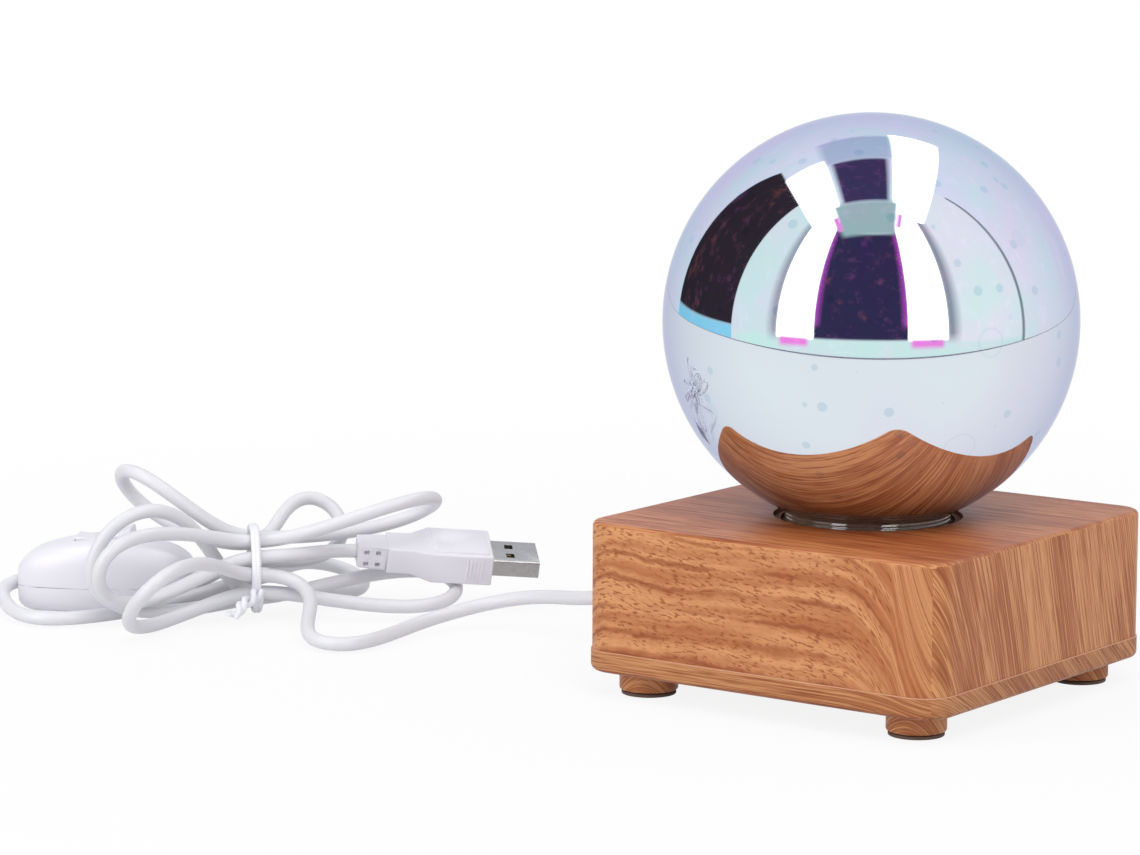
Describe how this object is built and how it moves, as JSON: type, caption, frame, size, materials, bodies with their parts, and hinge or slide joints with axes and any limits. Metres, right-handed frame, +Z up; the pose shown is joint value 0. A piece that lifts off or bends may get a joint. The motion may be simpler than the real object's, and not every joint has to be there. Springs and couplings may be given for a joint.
{
  "type": "ball night light",
  "caption": "Mirror-coated glass ball night light screwed into a square wood-look base on four round feet, with a white USB lead tied in a hank.",
  "frame": {"origin": "on the floor under the middle of the base, at the underside of the foot pads", "axes": "+Z up; the wide front of the base faces -Y; the lead leaves through the -X wall"},
  "size_m": [0.2837, 0.1301, 0.1391],
  "materials": {
    "wood_film": "printed wood-grain film, satin",
    "mirror_glass": "semi-transparent silvered glass with pale iridescent tints",
    "black_plastic": "moulded black",
    "dark_rubber": "matt",
    "steel": "bright plated",
    "brass": "bright",
    "white_plastic": "moulded white, satin",
    "white_cord": "soft white sheath, satin",
    "board": "white solder mask",
    "led_lens": "pale yellow lens",
    "red_wire": "wire sheath",
    "black_wire": "wire sheath"
  },
  "bodies": {
    "base": {"base_housing": "wood_film", "base_plate": "wood_film", "foot_0": "wood_film", "foot_1": "wood_film", "foot_2": "wood_film", "foot_3": "wood_film", "neck_socket": "black_plastic", "board_stand": "black_plastic", "neck_gasket": "dark_rubber", "foot_pad_0": "dark_rubber", "foot_pad_1": "dark_rubber", "foot_pad_2": "dark_rubber", "foot_pad_3": "dark_rubber", "foot_screw_0": "steel", "foot_screw_1": "steel", "foot_screw_2": "steel", "foot_screw_3": "steel", "socket_screw_0": "steel", "socket_screw_1": "steel", "socket_screw_2": "steel", "board_screw_0": "steel", "board_screw_1": "steel", "switch_screw_0": "steel", "switch_screw_1": "steel", "plug_shell": "steel", "switch_bridge": "brass", "switch_terminal_0": "brass", "switch_terminal_1": "brass", "plug_contact_0": "brass", "plug_contact_1": "brass", "plug_contact_2": "brass", "plug_contact_3": "brass", "cord_grommet": "white_plastic", "switch_lower_case": "white_plastic", "switch_upper_case": "white_plastic", "plug_grip": "white_plastic", "plug_tongue": "white_plastic", "twist_tie": "white_plastic", "cord_tail_inside": "white_cord", "cord_to_base": "white_cord", "cord_hank_base_side": "white_cord", "cord_hank_plug_side": "white_cord", "cord_to_switch_far_end": "white_cord", "cord_to_switch_near_end": "white_cord", "cord_to_plug": "white_cord", "light_board": "board", "light_chip_0": "led_lens", "light_chip_1": "led_lens", "light_chip_2": "led_lens", "light_chip_3": "led_lens", "light_chip_4": "led_lens", "light_chip_5": "led_lens", "wire_red": "red_wire", "wire_black": "black_wire"},
    "globe": {"glass_globe": "mirror_glass"},
    "rocker": {"switch_rocker": "white_plastic"}
  },
  "joints": [
    {"name": "globe_unscrew", "type": "hinge", "parent": "base", "child": "globe", "pos_m": [0, 0, 0.02925], "axis": [0, 0, 1], "range_deg": [0, 360]},
    {"name": "rocker_tip", "type": "hinge", "parent": "base", "child": "rocker", "pos_m": [-0.2117, -0.0382, 0.0177], "axis": [-0.5592, 0.829, 0], "range_deg": [0, 18]}
  ]
}
